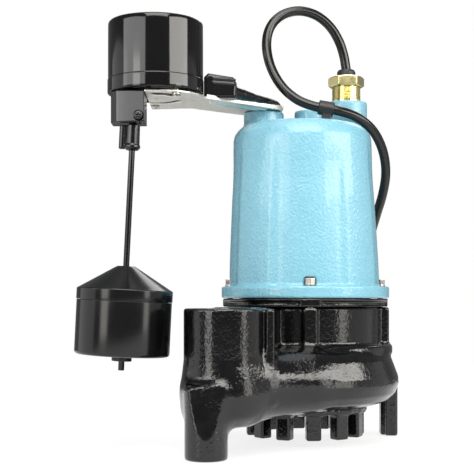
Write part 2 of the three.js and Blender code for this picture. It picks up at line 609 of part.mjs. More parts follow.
// ---- the whole pump ----
const pump = new THREE.Group();
pump.add(
  motorHousing(), ...flangeBolts(), ...stator(), ...rotor(), ...bearings(), sealPlate(), ...shaftSeal(),
  voluteCasing(), ...impeller(), ...strainer(),
  ...gland(), fillerPlug(), ...bracket(), ...switchScrews(), ...switchHousing(), ...switchWorks(),
  ...rodBlock(), floatGroup(), switchRelief(), cordClip(),
);
pump.updateMatrixWorld(true);
const footprint = new THREE.Box3().setFromObject(pump, true);
const middle = footprint.getCenter(new THREE.Vector3());
pump.add(...cords());
pump.position.set(-middle.x, -middle.y, -footprint.min.z);

const group = new THREE.Group();
group.add(pump);
export default group;
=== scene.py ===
"""The looks of a submersible sump pump with a vertical float switch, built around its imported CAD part."""

import json
import math

import bpy
import numpy as np
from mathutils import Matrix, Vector


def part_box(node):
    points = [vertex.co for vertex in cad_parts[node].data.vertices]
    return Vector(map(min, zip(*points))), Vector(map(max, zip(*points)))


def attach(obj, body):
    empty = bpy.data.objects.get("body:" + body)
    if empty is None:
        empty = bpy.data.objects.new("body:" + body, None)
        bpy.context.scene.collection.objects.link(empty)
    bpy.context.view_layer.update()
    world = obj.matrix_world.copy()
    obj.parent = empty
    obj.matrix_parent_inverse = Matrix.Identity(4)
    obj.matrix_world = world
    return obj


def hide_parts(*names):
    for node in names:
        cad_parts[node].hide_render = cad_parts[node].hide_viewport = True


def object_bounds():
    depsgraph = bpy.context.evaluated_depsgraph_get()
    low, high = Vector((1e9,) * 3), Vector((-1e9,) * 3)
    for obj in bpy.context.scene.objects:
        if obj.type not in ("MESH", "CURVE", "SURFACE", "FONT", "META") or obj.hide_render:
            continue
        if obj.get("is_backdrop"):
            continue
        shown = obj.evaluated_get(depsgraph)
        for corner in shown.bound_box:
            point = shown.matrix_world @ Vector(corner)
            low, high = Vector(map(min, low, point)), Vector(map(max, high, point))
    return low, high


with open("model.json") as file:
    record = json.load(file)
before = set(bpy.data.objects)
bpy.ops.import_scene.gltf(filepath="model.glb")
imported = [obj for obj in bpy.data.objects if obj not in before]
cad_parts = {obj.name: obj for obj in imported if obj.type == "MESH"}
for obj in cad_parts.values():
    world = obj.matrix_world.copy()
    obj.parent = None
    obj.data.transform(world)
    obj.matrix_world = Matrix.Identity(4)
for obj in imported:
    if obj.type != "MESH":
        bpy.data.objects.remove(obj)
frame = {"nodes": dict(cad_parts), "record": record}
cad_box = [list(corner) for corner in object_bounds()]

# ---- the pump's own frame: millimetres about the axis of its motor, with the floor at z = 0 ----
MM = 0.001
shaft_low, shaft_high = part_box("motor_shaft")
AXIS = np.array([(shaft_low.x + shaft_high.x) / 2, (shaft_low.y + shaft_high.y) / 2, 0.0])


def placed(points):
    """Points of the pump's own frame, in metres of the part's frame."""
    return np.asarray(points, float).reshape(-1, 3) * MM + AXIS


def own(point):
    """A point of the part's frame, in the pump's own millimetres."""
    return (np.asarray(point, float) - AXIS) / MM


def node_box(name):
    low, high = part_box(name)
    return own(low), own(high)


# ---- driving dimensions, as in the CAD part ----
BOLT_CIRCLE = 75.0
BOLT_ANGLES = (-90, 0, 90, 180)
FLANGE_BOTTOM, FLANGE_TOP, FLANGE_R = 141.8, 154.3, 83.3
HOUSING_TOP = 313.0
BOSSES = ((-41, 5, 20, 327.5), (8, 27, 17, 333), (43, 18, 21, 340))  # x, y, radius, top
BOSS_HOLES = ((-41, 5, 3.4, 310), (8, 27, 8, 293), (43, 18, 10, 290))
CORD_BOSS = (43, 18, 340)
RISER = (-79.5, -110.0)
RISER_R, RISER_BORE, RISER_TOP = 36.5, 24.2, 132.5
DRUM_R, DRUM_TOP = 74.0, 133.0
SWITCH = (-144.0, -72.0)
SWITCH_R, SWITCH_BOTTOM, SWITCH_TOP = 44.3, 332.0, 399.0
PLATE_BOTTOM, PLATE_TOP = 328.0, 330.0
ROD = (-164.6, -88.0)
ROD_R, ROD_LEAN, ROD_BASE = 2.8, math.radians(2.85), 278.0
CORD_R, SWITCH_CORD_R = 4.75, 4.0
COIL = (-58.0, 306.0)
COIL_R, COIL_TURNS = 48.0, 7.1
CORD_Z = 5.2


# ---- solids as distance fields, for cast and moulded shapes with soft edges ----
def length2(a, b):
    return np.sqrt(a * a + b * b)


def smooth_min(a, b, k):
    if k <= 0:
        return np.minimum(a, b)
    h = np.clip(0.5 + 0.5 * (b - a) / k, 0, 1)
    return b + (a - b) * h - k * h * (1 - h)


def polygon(u, v, corners):
    """Signed distance from u, v to a closed outline."""
    distance = np.full(np.broadcast(u, v).shape, 1e9)
    inside = np.zeros(distance.shape, bool)
    for (ax, ay), (bx, by) in zip(corners, corners[1:] + corners[:1]):
        ex, ey = bx - ax, by - ay
        wx, wy = u - ax, v - ay
        t = np.clip((wx * ex + wy * ey) / (ex * ex + ey * ey), 0, 1)
        distance = np.minimum(distance, (wx - ex * t) ** 2 + (wy - ey * t) ** 2)
        up, down, side = v >= ay, v < by, ex * wy > ey * wx
        inside ^= (up & down & side) | (~up & ~down & ~side)
    return np.where(inside, -1, 1) * np.sqrt(distance)


def raised(flat, z, bottom, top, rounding=0.0):
    """A flat outline's distances, made a prism from bottom to top with rounded edges."""
    a = flat + rounding
    b = np.abs(z - (bottom + top) / 2) - (top - bottom) / 2 + rounding
    return np.minimum(np.maximum(a, b), 0) + length2(np.maximum(a, 0), np.maximum(b, 0)) - rounding


def post(cx, cy, r, bottom, top, rounding=0.0):
    return lambda x, y, z: raised(length2(x - cx, y - cy) - r, z, bottom, top, rounding)


def prism(corners, bottom, top, rounding=0.0):
    return lambda x, y, z: raised(polygon(x, y, corners), z, bottom, top, rounding)


def lathe(corners, cx=0.0, cy=0.0, rounding=0.0):
    return lambda x, y, z: polygon(length2(x - cx, y - cy), z, corners) - rounding


def capsule(start, end, r0, r1):
    (ax, ay, az), (bx, by, bz) = start, end
    ex, ey, ez = bx - ax, by - ay, bz - az
    size = ex * ex + ey * ey + ez * ez

    def distance(x, y, z):
        t = np.clip(((x - ax) * ex + (y - ay) * ey + (z - az) * ez) / size, 0, 1)
        gap = (x - ax - ex * t) ** 2 + (y - ay - ey * t) ** 2 + (z - az - ez * t) ** 2
        return np.sqrt(gap) - (r0 + (r1 - r0) * t)

    return distance


def turned_box(cx, cy, cz, half, angle=0.0, rounding=0.0):
    """A box of half sizes along its own axes, turned about z by angle in degrees."""
    c, s = math.cos(math.radians(angle)), math.sin(math.radians(angle))

    def distance(x, y, z):
        u, v = c * (x - cx) + s * (y - cy), -s * (x - cx) + c * (y - cy)
        gaps = [np.abs(w) - h + rounding for w, h in zip((u, v, z - cz), half)]
        outside = np.sqrt(sum(np.maximum(g, 0) ** 2 for g in gaps))
        return outside + np.minimum(np.maximum(np.maximum(*gaps[:2]), gaps[2]), 0) - rounding

    return distance


def ball(cx, cy, cz, rx, ry, rz):
    def distance(x, y, z):
        u, v, w = (x - cx) / rx, (y - cy) / ry, (z - cz) / rz
        k = np.sqrt(u * u + v * v + w * w)
        return (k - 1) * min(rx, ry, rz)

    return distance


CORNERS = [(i, j, k) for i in (0, 1) for j in (0, 1) for k in (0, 1)]
EDGES = [(a, b) for a in range(8) for b in range(a + 1, 8)
         if sum(abs(p - q) for p, q in zip(CORNERS[a], CORNERS[b])) == 1]


class Field:
    """Distances to a solid's surface on a regular grid, negative inside, in the pump's own millimetres."""

    def __init__(self, low, high, step):
        self.low, self.step = np.array(low, float), step
        self.count = np.ceil((np.array(high, float) - self.low) / step).astype(int) + 1
        self.axes = [self.low[i] + step * np.arange(self.count[i]) for i in range(3)]
        self.values = np.full(self.count, 1e3, np.float32)

    def window(self, box):
        if box is None:
            return tuple(slice(0, n) for n in self.count)
        first = np.floor((np.array(box[0]) - self.low) / self.step).astype(int)
        last = np.ceil((np.array(box[1]) - self.low) / self.step).astype(int) + 1
        return tuple(slice(max(0, a), min(n, b)) for a, b, n in zip(first, last, self.count))

    def grid(self, window):
        x, y, z = (axis[part] for axis, part in zip(self.axes, window))
        return x[:, None, None], y[None, :, None], z[None, None, :]

    def add(self, shape, blend=0.0, box=None):
        part = self.window(box)
        self.values[part] = smooth_min(self.values[part], shape(*self.grid(part)), blend)

    def cut(self, shape, blend=0.0, box=None):
        part = self.window(box)
        self.values[part] = -smooth_min(-self.values[part], shape(*self.grid(part)), blend)

    def surface(self):
        """The surface as vertices in the pump's own millimetres and four-cornered faces."""
        v = self.values
        inside = v < 0
        size = tuple(n - 1 for n in v.shape)

        def at(a, offset):
            return a[tuple(slice(o, o + n) for o, n in zip(offset, size))]

        held = sum(at(inside, c).astype(np.int8) for c in CORNERS)
        cells = np.argwhere((held > 0) & (held < 8))
        index = np.full(size, -1)
        index[tuple(cells.T)] = np.arange(len(cells))
        total, hits = np.zeros((len(cells), 3)), np.zeros(len(cells))
        for a, b in EDGES:
            pa, pb = np.array(CORNERS[a]), np.array(CORNERS[b])
            va, vb = v[tuple((cells + pa).T)], v[tuple((cells + pb).T)]
            crossed = (va < 0) != (vb < 0)
            t = np.where(crossed, va / np.where(crossed, va - vb, 1), 0)[:, None]
            total += np.where(crossed[:, None], pa + t * (pb - pa), 0)
            hits += crossed
        points = self.low + self.step * (cells + total / hits[:, None])
        faces = []
        for axis in range(3):
            across = [i for i in range(3) if i != axis]
            lower = [slice(1, n) for n in size]
            lower[axis] = slice(0, size[axis])
            upper = list(lower)
            upper[axis] = slice(1, size[axis] + 1)
            first, second = inside[tuple(lower)], inside[tuple(upper)]
            for leaving in (True, False):
                crossed = (first & ~second) if leaving else (~first & second)
                corner = np.argwhere(crossed)
                corner[:, across] += 1
                steps = np.zeros((4, 3), int)
                steps[1, across[0]] = steps[2, across[0]] = -1
                steps[2, across[1]] = steps[3, across[1]] = -1
                quads = np.stack([index[tuple((corner + s).T)] for s in steps], axis=1)
                faces.append(quads if leaving != (axis == 1) else quads[:, ::-1])
        return points, np.concatenate(faces)


# ---- objects ----
def make_object(name, points, faces, body, replaced=(), material=None, sharp=None):
    """A mesh object from points in metres of the part's frame."""
    mesh = bpy.data.meshes.new(name)
    mesh.from_pydata(np.asarray(points).tolist(), [], [list(map(int, f)) for f in faces])
    mesh.validate()
    mesh.shade_smooth()
    if sharp:
        mesh.set_sharp_from_angle(angle=math.radians(sharp))
    made = bpy.data.objects.new(name, mesh)
    bpy.context.collection.objects.link(made)
    if material:
        mesh.materials.append(material)
    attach(made, body)
    if replaced:
        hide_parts(*replaced)
    return made


def cast(name, field, body, replaced, material, relax=0, sharp=None):
    """An object whose surface is a field's, smoothed a little."""
    points, faces = field.surface()
    made = make_object(name, placed(points), faces, body, replaced, material, sharp)
    if relax:
        smooth = made.modifiers.new("relax", "SMOOTH")
        smooth.factor, smooth.iterations = 0.5, relax
    return made


def rounded(corners, steps=5):
    """A profile of (radius, height, rounding) with each corner rounded by an arc of that radius."""
    points = [np.array(c[:2], float) for c in corners]
    done = []
    for i, corner in enumerate(corners):
        r = corner[2] if len(corner) > 2 else 0
        if r <= 0 or i in (0, len(corners) - 1):
            done.append(tuple(points[i]))
            continue
        back, on = points[i - 1] - points[i], points[i + 1] - points[i]
        reach = [np.linalg.norm(back), np.linalg.norm(on)]
        back, on = back / reach[0], on / reach[1]
        half = math.acos(np.clip(back @ on, -1, 1)) / 2
        along = min(r / math.tan(half), 0.49 * min(reach))
        r = along * math.tan(half)
        centre = points[i] + (back + on) / np.linalg.norm(back + on) * r / math.sin(half)
        start, end = points[i] + back * along - centre, points[i] + on * along - centre
        first = math.atan2(start[1], start[0])
        turn = (math.atan2(end[1], end[0]) - first + math.pi) % (2 * math.pi) - math.pi
        for k in range(steps + 1):
            a = first + turn * k / steps
            done.append(tuple(centre + r * np.array([math.cos(a), math.sin(a)])))
    return done


def turned(profile, segments=96, lean=None, centre=(0.0, 0.0), closed=False):
    """Points in the pump's own millimetres and faces of a profile of (radius, height) turned about z.
    lean is (base height, angle): the axis leans towards +x above that height."""
    points, faces, rings = [], [], []
    for r, z in profile:
        if r < 1e-6:
            rings.append([len(points)])
            points.append((0, 0, z))
            continue
        rings.append(list(range(len(points), len(points) + segments)))
        for k in range(segments):
            a = 2 * math.pi * k / segments
            points.append((r * math.cos(a), r * math.sin(a), z))
    pairs = list(zip(rings, rings[1:]))
    if closed:
        pairs.append((rings[-1], rings[0]))
    for low, high in pairs:
        for k in range(segments):
            n = (k + 1) % segments
            face = [low[k % len(low)], low[n % len(low)], high[n % len(high)], high[k % len(high)]]
            face = list(dict.fromkeys(face))
            if len(face) > 2:
                faces.append(face)
    points = np.array(points, float)
    if lean:
        base, angle = lean
        z = points[:, 2] - base
        x = points[:, 0].copy()
        points[:, 0] = x * math.cos(angle) + z * math.sin(angle)
        points[:, 2] = base - x * math.sin(angle) + z * math.cos(angle)
    return points + np.array([centre[0], centre[1], 0.0]), faces


def lathed(name, profile, body, replaced, material, centre=(0.0, 0.0), segments=96, lean=None,
           closed=False, sharp=35):
    points, faces = turned(profile, segments, lean, centre, closed)
    return make_object(name, placed(points), faces, body, replaced, material, sharp)


# ---- materials ----
def shader(name, color, roughness, metallic=0.0, specular=0.5, coat=0.0, coat_roughness=0.1):
    material = bpy.data.materials.new(name)
    material.use_nodes = True
    tree = material.node_tree
    bsdf = tree.nodes["Principled BSDF"]
    bsdf.inputs["Base Color"].default_value = (*color, 1)
    bsdf.inputs["Roughness"].default_value = roughness
    bsdf.inputs["Metallic"].default_value = metallic
    bsdf.inputs["Specular IOR Level"].default_value = specular
    bsdf.inputs["Coat Weight"].default_value = coat
    bsdf.inputs["Coat Roughness"].default_value = coat_roughness
    return material, tree, bsdf


def noise(tree, size_mm, detail=2.0, stretch=(1, 1, 1), roughness=0.5):
    """A noise whose features are about size_mm across."""
    place = tree.nodes.new("ShaderNodeTexCoord")
    scale = tree.nodes.new("ShaderNodeMapping")
    scale.inputs["Scale"].default_value = stretch
    pattern = tree.nodes.new("ShaderNodeTexNoise")
    pattern.inputs["Scale"].default_value = 1 / (size_mm * MM)
    pattern.inputs["Detail"].default_value = detail
    pattern.inputs["Roughness"].default_value = roughness
    tree.links.new(place.outputs["Object"], scale.inputs["Vector"])
    tree.links.new(scale.outputs["Vector"], pattern.inputs["Vector"])
    return pattern.outputs["Fac"]


def ramp(tree, value, low, high, low_at=0.0, high_at=1.0):
    """value, from low_at to high_at, as a number or a colour from low to high."""
    if isinstance(low, tuple):
        node = tree.nodes.new("ShaderNodeMix")
        node.data_type = "RGBA"
        node.inputs["A"].default_value, node.inputs["B"].default_value = (*low, 1), (*high, 1)
        tree.links.new(ramp(tree, value, 0.0, 1.0, low_at, high_at), node.inputs["Factor"])
        return node.outputs["Result"]
    node = tree.nodes.new("ShaderNodeMapRange")
    node.inputs["From Min"].default_value, node.inputs["From Max"].default_value = low_at, high_at
    node.inputs["To Min"].default_value, node.inputs["To Max"].default_value = low, high
    tree.links.new(value, node.inputs["Value"])
    return node.outputs["Result"]


def bump(tree, bsdf, layers):
    """Bumps one on another. Each layer is a height pattern and its depth in millimetres."""
    normal = None
    for height, depth in layers:
        node = tree.nodes.new("ShaderNodeBump")
        node.inputs["Distance"].default_value = depth * MM
        tree.links.new(height, node.inputs["Height"])
        if normal:
            tree.links.new(normal, node.inputs["Normal"])
        normal = node.outputs["Normal"]
    tree.links.new(normal, bsdf.inputs["Normal"])


def blue_paint():
    material, tree, bsdf = shader("blue_paint", (0.27, 0.62, 0.78), 0.24, coat=0.4, coat_roughness=0.08)
    tone = ramp(tree, noise(tree, 30, 3), (0.174, 0.405, 0.508), (0.182, 0.42, 0.525), 0.35, 0.65)
    tree.links.new(tone, bsdf.inputs["Base Color"])
    tree.links.new(ramp(tree, noise(tree, 8, 3), 0.22, 0.34), bsdf.inputs["Roughness"])
    bump(tree, bsdf, [(noise(tree, 14, 2), 0.22), (noise(tree, 2.6, 2), 0.62), (noise(tree, 1.3, 1), 0.08)])
    return material


def black_enamel():
    material, tree, bsdf = shader("black_enamel", (0.003, 0.003, 0.0033), 0.09,
                                  coat=0.15, coat_roughness=0.05)
    tone = ramp(tree, noise(tree, 9, 3), (0.0015, 0.0015, 0.002), (0.0045, 0.0042, 0.004), 0.35, 0.7)
    tree.links.new(tone, bsdf.inputs["Base Color"])
    tree.links.new(ramp(tree, noise(tree, 6, 3), 0.07, 0.15), bsdf.inputs["Roughness"])
    bump(tree, bsdf, [(noise(tree, 16, 2), 0.2), (noise(tree, 3.2, 2), 0.34), (noise(tree, 1.6, 1), 0.04)])
    return material


def plastic(name, color, roughness, grain=0.02, size=1.2, coat=0.0):
    material, tree, bsdf = shader(name, color, roughness, coat=coat)
    darker = tuple(0.75 * c for c in color)
    lighter = tuple(1.35 * c for c in color)
    tree.links.new(ramp(tree, noise(tree, 25, 3), darker, lighter, 0.3, 0.7), bsdf.inputs["Base Color"])
    worn = ramp(tree, noise(tree, 18, 3), roughness * 0.92, roughness * 1.12, 0.3, 0.7)
    tree.links.new(worn, bsdf.inputs["Roughness"])
    bump(tree, bsdf, [(noise(tree, 20, 1), 4 * grain), (noise(tree, size, 2), grain)])
    return material


def metal(name, color, roughness, grain=0.015, stretch=(1, 1, 1), stain=0.85, size=0.8):
    material, tree, bsdf = shader(name, color, roughness, metallic=1.0)
    stained = tuple(stain * c for c in color)
    tree.links.new(ramp(tree, noise(tree, 7, 4), stained, color, 0.3, 0.65), bsdf.inputs["Base Color"])
    rubbed = ramp(tree, noise(tree, 5, 3, stretch), roughness * 0.85, roughness * 1.2, 0.3, 0.7)
    tree.links.new(rubbed, bsdf.inputs["Roughness"])
    bump(tree, bsdf, [(noise(tree, size, 2, stretch), grain)])
    return material


BLUE = blue_paint()
ENAMEL = black_enamel()
GLOSS_PLASTIC = plastic("gloss_black_plastic", (0.003, 0.003, 0.0033), 0.08, 0.003)
SATIN_PLASTIC = plastic("satin_black_plastic", (0.003, 0.003, 0.0033), 0.17, 0.006)
DARK_PLASTIC = plastic("dark_grey_plastic", (0.03, 0.03, 0.032), 0.45, 0.02)
RUBBER = plastic("black_rubber", (0.011, 0.011, 0.011), 0.42, 0.02)
JACKET = plastic("cord_jacket", (0.004, 0.0037, 0.0034), 0.22, 0.002, size=6)
ZINC = metal("zinc_plate", (0.82, 0.80, 0.74), 0.4, 0.002, stain=0.92, size=3)
STAINLESS = metal("stainless_steel", (0.56, 0.52, 0.47), 0.25, 0.004)
GOLD = metal("gold_zinc", (0.92, 0.82, 0.42), 0.22, 0.001, stain=0.95)
COPPER = metal("copper_wire", (0.62, 0.27, 0.12), 0.35, 0.08, (1, 1, 6), size=1.2)
LAMINATION = metal("lamination_steel", (0.28, 0.29, 0.30), 0.45, 0.05, (0.02, 0.02, 1), size=0.5)
ALUMINIUM = metal("cast_aluminium", (0.66, 0.66, 0.67), 0.45, 0.03)
CERAMIC = plastic("white_ceramic", (0.72, 0.70, 0.64), 0.2, 0.004)
BLACK_STEEL = metal("black_oxide_steel", (0.06, 0.06, 0.06), 0.38, 0.01)
SLOT_FINISH = {
    "housing_paint": BLUE, "black_enamel": ENAMEL, "black_plastic": SATIN_PLASTIC,
    "dark_plastic": DARK_PLASTIC,
    "black_rubber": RUBBER, "cord_jacket": JACKET, "zinc_plate": ZINC, "stainless_steel": STAINLESS,
    "gold_zinc": GOLD, "copper_wire": COPPER, "lamination_steel": LAMINATION, "cast_aluminium": ALUMINIUM,
    "ceramic_white": CERAMIC, "dark_screw": BLACK_STEEL,
}
for part in frame["record"]["subparts"]:
    carried = frame["nodes"][part["node"]]
    carried.data.materials.clear()
    carried.data.materials.append(SLOT_FINISH[part["material_slot"]])


def on_circle(r, degrees, cx=0.0, cy=0.0):
    return cx + r * math.cos(math.radians(degrees)), cy + r * math.sin(math.radians(degrees))


def between(x, low, high):
    """0 below low, 1 above high, and smooth between them."""
    t = np.clip((x - low) / (high - low), 0, 1)
    return t * t * (3 - 2 * t)


def angle_gap(x, y, degrees):
    """How far, in degrees, the direction of x, y is from a given one."""
    turn = np.degrees(np.arctan2(y, x)) - degrees
    return np.abs((turn + 180) % 360 - 180)


# ---- camera ----
camera_data = bpy.data.cameras.new("camera")
camera = bpy.data.objects.new("camera", camera_data)
bpy.context.collection.objects.link(camera)
camera.location = Vector(placed((-68, -1100, 140))[0])
camera.rotation_euler = (math.radians(90), 0, 0)
camera_data.sensor_width = 36
camera_data.lens = 83.54
camera_data.shift_y = 0.133
bpy.context.scene.camera = camera


# ---- cords ----
def eased(points, passes=4):
    """A route with its small unevenness taken out, and its long bends kept."""
    p = np.asarray(points, float).copy()
    lowest = p[:, 2].min()
    for _ in range(passes):
        p[2:-2] -= (p[:-4] - 4 * p[1:-3] + 6 * p[2:-2] - 4 * p[3:-1] + p[4:]) / 16
    p[:, 2] = np.maximum(p[:, 2], lowest)
    return p


def cord_curve(name, points, r, body, replaced, material):
    curve = bpy.data.curves.new(name, "CURVE")
    curve.dimensions = "3D"
    curve.bevel_depth, curve.bevel_resolution = r * MM, 6
    curve.use_fill_caps = True
    curve.resolution_u = 8
    spline = curve.splines.new("BEZIER")
    spline.bezier_points.add(len(points) - 1)
    spots = placed(eased(points))
    lowest = spots[:, 2].min()
    for i, spot in enumerate(spots):
        before, after = spots[max(i - 1, 0)], spots[min(i + 1, len(spots) - 1)]
        along = after - before
        along = along / np.linalg.norm(along)
        knot = spline.bezier_points[i]
        knot.handle_left_type = knot.handle_right_type = "FREE"
        knot.co = spot
        left = spot - along * np.linalg.norm(spot - before) / 3
        right = spot + along * np.linalg.norm(after - spot) / 3
        left[2], right[2] = max(left[2], lowest), max(right[2], lowest)
        knot.handle_left, knot.handle_right = left, right
    curve.materials.append(material)
    made = bpy.data.objects.new(name, curve)
    bpy.context.collection.objects.link(made)
    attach(made, body)
    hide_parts(*replaced)
    return made


POWER_ROUTE = [
    (43, 18, 373.7), (40.5, 17.5, 388), (35.5, 15.5, 402), (26, 12, 417), (13.6, 8, 426.8),
    (-5, 3, 430.6), (-20, -1, 426.4), (-31.4, -4, 417), (-37.4, -7, 403.5), (-38.2, -9, 390),
    (-34.4, -12, 368.5), (-24.6, -15, 350), (-9, -18, 337.5), (5, -19, 331), (19.5, -19.5, 328.2),
    (36, -18, 325.5), (51, -12, 320), (67.6, -2, 312.8), (76, 9, 297), (82, 20, 281.5), (84.8, 29, 268),
    (84, 42, 250), (79, 62, 228), (73, 78, 208), (71, 84, 188), (70.5, 86, 168), (61, 95, 143),
    (42, 102, 119),
    (12, 106, 93), (-23, 108, 69), (-58, 110, 45), (-84, 116, 24), (-99, 131, 9), (-104, 153, CORD_Z),
    (-106, 200, CORD_Z), (-109, 245, CORD_Z), (-114, 275, CORD_Z),
]


def coil_turns():
    """The turns lie two wide and four high: a layer winds in, the next winds out, and so on."""
    per_turn, per_layer, squeeze, smoothing = 24, 1.85, 0.97, 13
    points = []
    total = int(COIL_TURNS * per_turn)
    for i in range(total + 1):
        turn = i / per_turn
        layer = min(int(turn / per_layer), 3)
        within = (turn - layer * per_layer) / per_layer
        within = min(max(within, 0), 1)
        side = within if layer % 2 else 1 - within
        r = COIL_R - CORD_R + 2 * CORD_R * side
        rise = CORD_Z + 2 * CORD_R * layer * squeeze
        angle = 180 - 360 * turn
        points.append((*on_circle(r, angle, *COIL), rise))
    heights = np.array([p[2] for p in points])
    kernel = np.ones(smoothing) / smoothing
    ends = smoothing // 2
    padded = np.concatenate([np.full(ends, heights[0]), heights, np.full(ends, heights[-1])])
    heights = np.convolve(padded, kernel, "valid")
    return [(x, y, float(h)) for (x, y, _), h in zip(points, heights)]


def plug():
    """A moulded three-pin plug that lies along x, with flat blades and a round earth pin."""
    low, high = node_box("power_plug")
    y, z = (low[1] + high[1]) / 2, (low[2] + high[2]) / 2
    back = low[0] + 7
    face = back + 38
    field = Field((low[0] - 1, low[1] - 1, low[2] - 1), (face + 2, high[1] + 1, high[2] + 1), 0.45)
    grip = [(back, y - 8), (back + 6, y - 11), (back + 18, y - 10), (back + 27, y - 13), (face, y - 13.4),
            (face, y + 13.4), (back + 27, y + 13), (back + 18, y + 10), (back + 6, y + 11), (back, y + 8)]
    field.add(prism(grip, low[2] + 0.3, low[2] + 24.8, 3.5))
    field.add(capsule((low[0] + 6, y, z), (back + 4, y, z), 6.2, 8.5), 2)
    for k in range(5):
        for side in (-1, 1):
            field.add(turned_box(back + 10 + 3.2 * k, y + side * 10.6, z, (0.8, 1.2, 8), 0, 0.6), 0.5)
    field.cut(capsule((low[0] - 4, y, z), (back + 2, y, z), CORD_R + 0.2, CORD_R + 0.2), 0.2)
    body = cast("plug_body", field, "pump", ["power_plug"], RUBBER)
    pins = Field((face - 3, y - 9, z - 10), (face + 20, y + 9, z + 8), 0.35)
    for side in (-6.3, 6.3):
        pins.add(turned_box(face + 7, y + side, z + 3.2, (9, 0.8, 3.2), 0, 0.4))
    pins.add(capsule((face - 1, y, z - 6), (face + 16.6, y, z - 6), 2.4, 2.2))
    blades = cast("plug_blades", pins, "pump", ["power_plug"], GOLD)
    return [body, blades]


def junction():
    """The moulded block where the two cords meet, with grooves across its front and a channel for the power
    cord.
    """
    low, high = node_box("cord_junction")
    heart = (low + high) / 2
    field = Field(low - 2, high + 2, 0.45)
    field.add(turned_box(*heart, (high - low) / 2 - 0.4, 0, 4.0))
    for z in np.arange(low[2] + 7, high[2] - 6, 4.0):
        field.cut(lambda x, y, pz, z=z: np.maximum(np.abs(pz - z) - 0.7, low[1] + 1.4 - y), 0.4)
    for start, end in zip(POWER_ROUTE[22:27], POWER_ROUTE[23:28]):
        field.cut(capsule(start, end, CORD_R + 0.3, CORD_R + 0.3), 0.2)
    return cast("cord_junction_moulding", field, "pump", ["cord_junction"], RUBBER)


turns = coil_turns()
plug_low, plug_high = node_box("power_plug")
plug_middle = ((plug_low + plug_high) / 2).tolist()
lead_out = [(turns[-1][0] + 14, plug_middle[1] - 0.5, turns[-1][2] - 4),
            (turns[-1][0] + 30, plug_middle[1], 20),
            (plug_low[0] + 1, plug_middle[1], plug_middle[2])]
route = POWER_ROUTE + turns[1:] + lead_out
power_cord = cord_curve("power_cord_line", route, CORD_R, "pump", ["power_cord", "power_cord_coil"], JACKET)

SWITCH_ROUTE = [
    (-53, -35, 336), (-46, -28, 335.4), (-37, -16, 334.8), (-30, -2, 334.9), (-25.4, 15, 335.2),
    (-26, 34, 329.5),
    (-27, 48, 321), (-25.5, 62, 313.5), (-20, 75, 300), (-12, 84, 281), (1, 89.5, 258), (18, 92, 234),
    (37, 90, 211.5), (57.5, 86, 193),
]
switch_cord = cord_curve("switch_cord_line", SWITCH_ROUTE, SWITCH_CORD_R, "pump", ["switch_cord"], JACKET)

plug()
junction()


# ---- motor housing ----
def housing():
    field = Field((-87, -87, 138), (87, 87, 344), 1.3)
    profile = [(0, FLANGE_TOP - 4), (76.8, FLANGE_TOP - 4), (76.7, 160), (76.1, 178), (74.8, 205),
               (72.9, 240),
               (70.6, 272), (69.6, 288), (68.9, 298), (67.6, 303), (64.5, 307.5), (60, 311.5),
               (56, HOUSING_TOP), (0, HOUSING_TOP)]
    field.add(lambda x, y, z: lathe(profile)(x + 1 + 0.013 * (z - 160), y, z))

    def flutes(x, y, z):
        depth = 2.2 * (1 - between(z, 250, 312))
        near = sum(1 - between(angle_gap(x, y, a), 23, 31) for a in BOLT_ANGLES)
        return depth * near
    part = field.window(None)
    grid = field.grid(part)
    field.values += (flutes(*grid) * between(length2(grid[0], grid[1]), 55, 66)).astype(np.float32)
    for x, y, r, top in BOSSES:
        box = ((x - r - 8, y - r - 8, 290), (x + r + 8, y + r + 8, top + 6))
        field.add(post(x, y, r, 296, top, 1.6), 5, box)
    flange = lambda x, y, z: raised(length2(x, y) - FLANGE_R, z, FLANGE_BOTTOM, FLANGE_TOP - 1, 1.4)
    field.add(flange, 2.5, ((-87, -87, 138), (87, 87, 164)))
    for angle in BOLT_ANGLES:
        x, y = on_circle(BOLT_CIRCLE, angle)
        near = ((x - 14, y - 14, 138), (x + 14, y + 14, 180))
        field.cut(post(x, y, 5.9, FLANGE_TOP - 1, 161.6, 1), 0.8, near)
        field.cut(post(x, y, 3.4, 130, 160), 0, near)
    cavity = [(0, 130), (64.5, 130), (64.5, 152), (62, 152), (62, 236), (60, 236), (58, 290), (48, 302),
              (0, 302)]
    field.cut(lathe(cavity), 0)
    field.add(lambda x, y, z: np.maximum(raised(length2(x, y) - 26, z, 268, 303),
                                         20.3 - length2(x, y)), 0, ((-30, -30, 262), (30, 30, 306)))
    for (x, y, r, bottom), boss in zip(BOSS_HOLES, BOSSES):
        box = ((x - r - 3, y - r - 3, bottom - 3), (x + r + 3, y + r + 3, boss[3] + 8))
        field.cut(post(x, y, r, bottom, boss[3] + 5), 0.6, box)
    cast("housing_casting", field, "pump", ["motor_housing"], BLUE, relax=1)


housing()


# ---- wet end ----
SCROLL_SWEEP, SCROLL_START, SCROLL_GROWTH, SCROLL_POWER = 290.0, 83.0, 33.0, 2.9


def scroll_radius(x, y):
    """The scroll starts at the left and widens round the back, the right and the front."""
    sweep = (180 - np.degrees(np.arctan2(y, x))) % 360
    grown = SCROLL_START + SCROLL_GROWTH * (np.minimum(sweep, SCROLL_SWEEP) / SCROLL_SWEEP) ** SCROLL_POWER
    past = between(sweep, SCROLL_SWEEP, 360)
    return grown - SCROLL_GROWTH * past


SCROLL_SECTION = [(-70, 42), (-22, 42.5), (-13, 46), (-7, 52), (-4.2, 59), (-4.6, 65), (-10.6, 81), (-15, 86),
                  (-22, 89), (-70, 89)]  # outwards from its widest reach, and up


def scroll(x, y, z):
    return polygon(length2(x, y) - scroll_radius(x, y), z + 0 * x * y, SCROLL_SECTION) - 4


